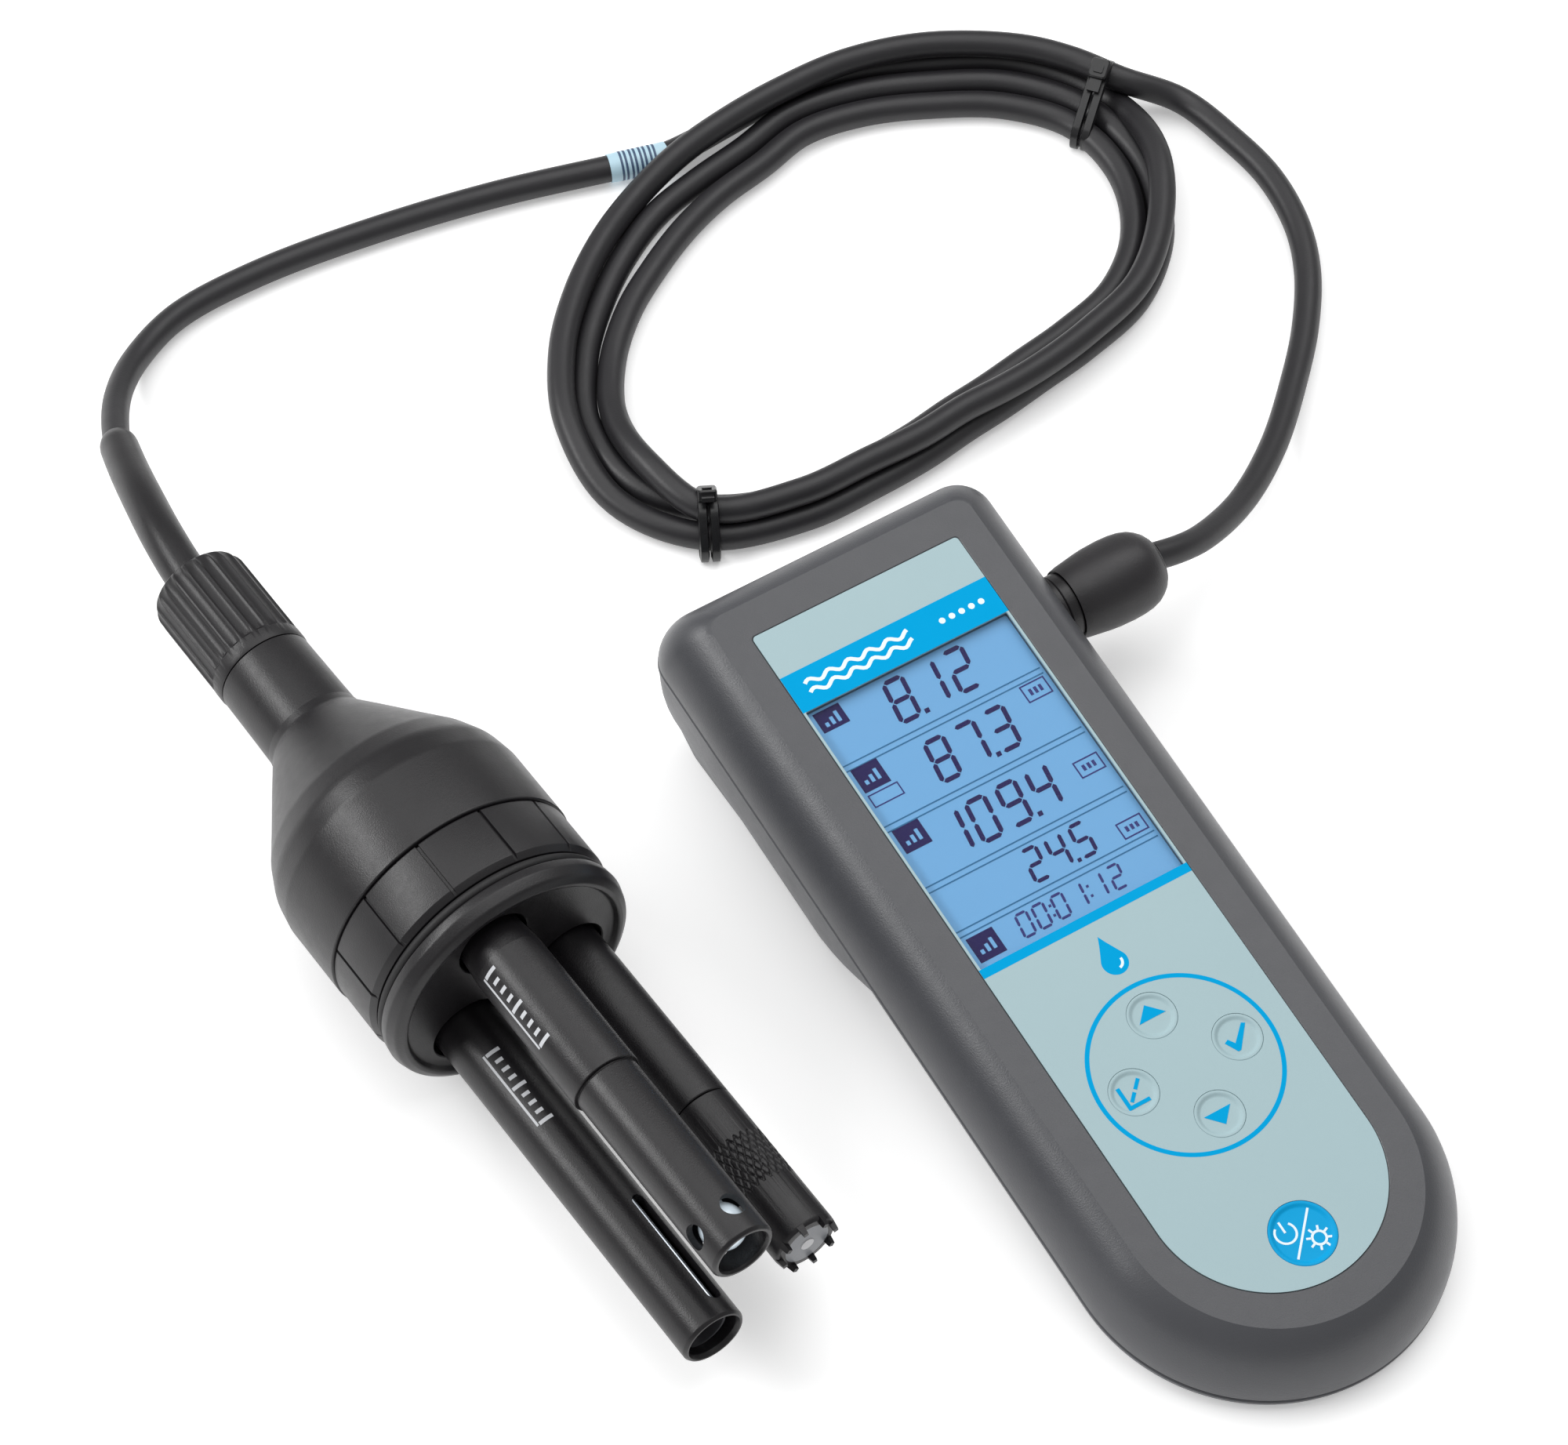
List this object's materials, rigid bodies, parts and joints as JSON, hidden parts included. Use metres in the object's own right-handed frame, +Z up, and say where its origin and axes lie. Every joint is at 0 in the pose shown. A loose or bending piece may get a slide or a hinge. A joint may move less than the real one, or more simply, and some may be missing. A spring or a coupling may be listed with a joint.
{
  "type": "handheld water quality meter with multi-sensor probe",
  "caption": "Handheld water quality meter with display and keypad, a coiled cable and a probe that holds acidity, conductivity and dissolved oxygen sensors.",
  "frame": {"origin": "on the floor, under the middle of the box around the meter and the probe without its cable", "axes": "+X towards the meter's plug side, +Y from the handle to the display end, +Z up"},
  "size_m": [0.2615, 0.3202, 0.0508],
  "materials": {
    "case": "fine matt texture",
    "black": "satin black",
    "rubber": "matt",
    "cable": "satin",
    "film": "satin printed film",
    "key_blue": "satin printed film",
    "window": "clear",
    "bulb": "clear",
    "display": "lit blue display",
    "white": "satin",
    "board": "satin",
    "steel": "plain",
    "gold": "plated",
    "cell": "gloss",
    "label": "satin",
    "graphite": "plain",
    "membrane": "thin film"
  },
  "bodies": {
    "meter": {"top_shell": "case", "bottom_shell": "case", "case_seal": "rubber", "overlay": "film", "window": "window", "lcd_glass": "display", "lcd_frame": "white", "backlight": "white", "main_board": "board", "board_screws": "steel", "key_domes": "steel", "socket": "black", "socket_pins": "gold", "battery_tray": "black", "battery_cells": "cell", "battery_contacts": "steel", "case_screws": "steel"},
    "battery_door": {"battery_door": "case"},
    "cord_and_probe": {"plug_body": "black", "plug_collar": "rubber", "plug_nose": "black", "cable_a": "cable", "coil": "cable", "cable_b": "cable", "tie_a": "black", "tie_b": "black", "cable_label": "label", "strain_relief": "rubber", "gland_seal": "rubber", "cable_tail": "cable", "housing": "black", "ring_seal": "rubber", "carrier": "black", "head_board": "board", "head_contacts": "gold"},
    "gland_nut": {"gland_nut": "black"},
    "coupling_ring": {"coupling_ring": "black"},
    "ph_sensor": {"ph_body": "black", "ph_bulb": "bulb", "ph_seal": "rubber"},
    "ec_sensor": {"ec_body": "black", "ec_rod": "steel", "ec_electrodes": "graphite", "ec_seal": "rubber"},
    "do_sensor": {"do_body": "black", "do_cathode": "steel", "do_seal": "rubber"},
    "do_cap": {"do_cap": "black", "do_membrane": "membrane"},
    "key_up": {"key_up": "film"},
    "key_check": {"key_check": "film"},
    "key_return": {"key_return": "film"},
    "key_down": {"key_down": "film"},
    "key_power": {"key_power": "key_blue"}
  },
  "joints": [
    {"name": "plug_pull", "type": "slide", "parent": "meter", "child": "cord_and_probe", "axis": [1, 0, 0], "range_m": [0, 0.012]},
    {"name": "battery_door_slide", "type": "slide", "parent": "meter", "child": "battery_door", "axis": [0, 1, 0], "range_m": [0, 0.03]},
    {"name": "key_up_press", "type": "slide", "parent": "meter", "child": "key_up", "axis": [0, 0.1305, -0.9914], "range_m": [0, 0.0005], "stiffness_N_per_m": 2500, "springref_m": -0.0002},
    {"name": "key_check_press", "type": "slide", "parent": "meter", "child": "key_check", "axis": [0, 0.1305, -0.9914], "range_m": [0, 0.0005], "stiffness_N_per_m": 2500, "springref_m": -0.0002},
    {"name": "key_return_press", "type": "slide", "parent": "meter", "child": "key_return", "axis": [0, 0.1305, -0.9914], "range_m": [0, 0.0005], "stiffness_N_per_m": 2500, "springref_m": -0.0002},
    {"name": "key_down_press", "type": "slide", "parent": "meter", "child": "key_down", "axis": [0, 0.1305, -0.9914], "range_m": [0, 0.0005], "stiffness_N_per_m": 2500, "springref_m": -0.0002},
    {"name": "key_power_press", "type": "slide", "parent": "meter", "child": "key_power", "axis": [0, 0.1305, -0.9914], "range_m": [0, 0.0005], "stiffness_N_per_m": 2500, "springref_m": -0.0002},
    {"name": "gland_nut_turn", "type": "hinge", "parent": "cord_and_probe", "child": "gland_nut", "pos_m": [-0.05653, 0.11001, 0.0254], "axis": [0.0628, -0.998, 0], "range_deg": [0, 360]},
    {"name": "coupling_ring_turn", "type": "hinge", "parent": "cord_and_probe", "child": "coupling_ring", "pos_m": [-0.05138, 0.02817, 0.0254], "axis": [0.0628, -0.998, 0], "range_deg": [0, 360]},
    {"name": "ph_sensor_slide", "type": "slide", "parent": "cord_and_probe", "child": "ph_sensor", "axis": [0.0628, -0.998, 0], "range_m": [0, 0.03]},
    {"name": "ec_sensor_slide", "type": "slide", "parent": "cord_and_probe", "child": "ec_sensor", "axis": [0.0628, -0.998, 0], "range_m": [0, 0.03]},
    {"name": "do_sensor_slide", "type": "slide", "parent": "cord_and_probe", "child": "do_sensor", "axis": [0.0628, -0.998, 0], "range_m": [0, 0.03]},
    {"name": "do_cap_turn", "type": "hinge", "parent": "do_sensor", "child": "do_cap", "pos_m": [-0.03433, -0.0449, 0.0216], "axis": [0.0628, -0.998, 0], "range_deg": [0, 360]}
  ]
}
